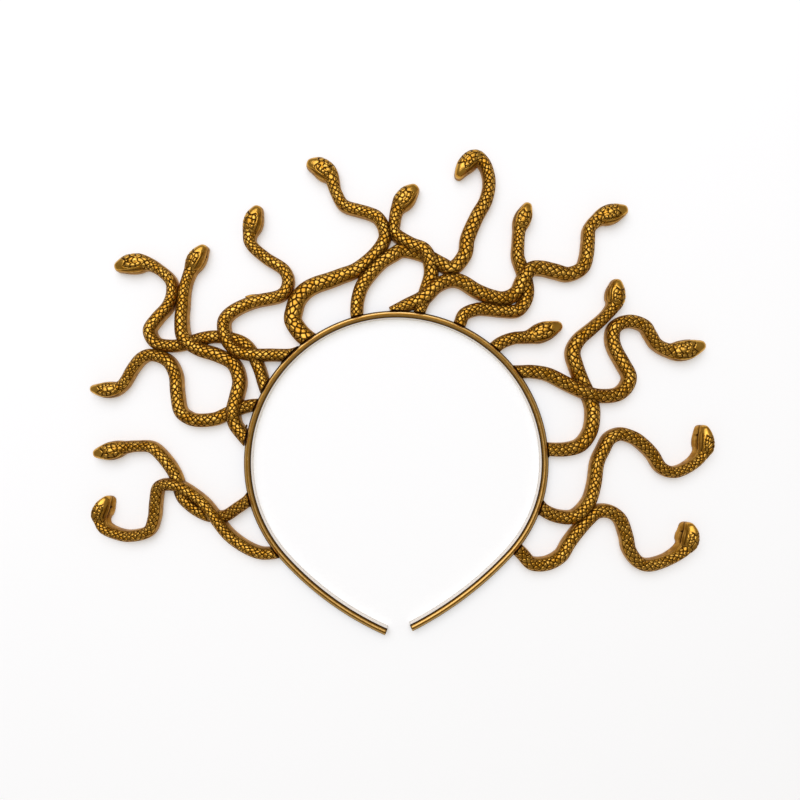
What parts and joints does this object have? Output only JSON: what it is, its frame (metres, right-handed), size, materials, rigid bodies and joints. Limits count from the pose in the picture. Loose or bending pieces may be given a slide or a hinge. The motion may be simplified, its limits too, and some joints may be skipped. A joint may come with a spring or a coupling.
{
  "type": "serpent diadem",
  "caption": "Open metal headband lying on its back, with cast snakes that curl and cross all round its outer face, their heads reaching outward.",
  "frame": {"origin": "centre of the hoop's round stretch, on the plane of the flat backs", "axes": "+X to the right as seen from the front, +Y to the crown of the hoop, +Z along the hoop's axis towards the front of the castings; it lies on its back on Z = 0"},
  "size_m": [0.2801, 0.2183, 0.0072],
  "materials": {
    "band_metal": "drawn bar, polished along its front and darkened at its edges",
    "cast_metal": "cast, antiqued: bright on the scales and near black between them"
  },
  "bodies": {
    "root": {"band": "band_metal", "left_pair": "cast_metal", "left_cluster": "cast_metal", "top_cluster": "cast_metal", "small_snake": "cast_metal", "right_upper_pair": "cast_metal", "right_lower_pair": "cast_metal"}
  },
  "joints": []
}
